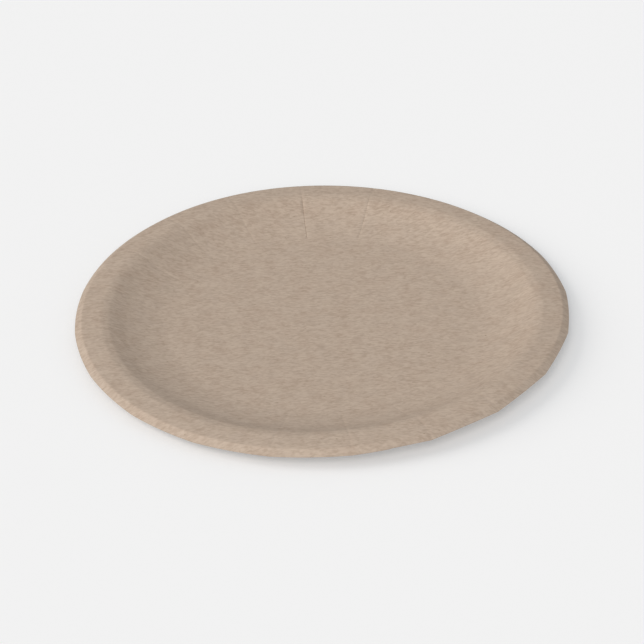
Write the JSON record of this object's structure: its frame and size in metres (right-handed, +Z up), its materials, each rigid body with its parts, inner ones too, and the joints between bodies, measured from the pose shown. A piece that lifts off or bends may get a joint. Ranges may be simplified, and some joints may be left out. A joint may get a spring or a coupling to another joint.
{
  "type": "paper plate",
  "caption": "Round shallow plate pressed from brown kraft board, with a flat floor, soft wall, pleated rim and short turned-down skirt.",
  "frame": {"origin": "centre of the underside of the floor, in the plane that the plate rests on", "axes": "+Z up along the plate's axis, towards the eating side; +X lies 5.5 degrees short of a pleat"},
  "size_m": [0.1774, 0.1774, 0.0079],
  "materials": {
    "kraft_board": "matt, unbleached, uncoated"
  },
  "bodies": {
    "root": {"plate": "kraft_board"}
  },
  "joints": []
}
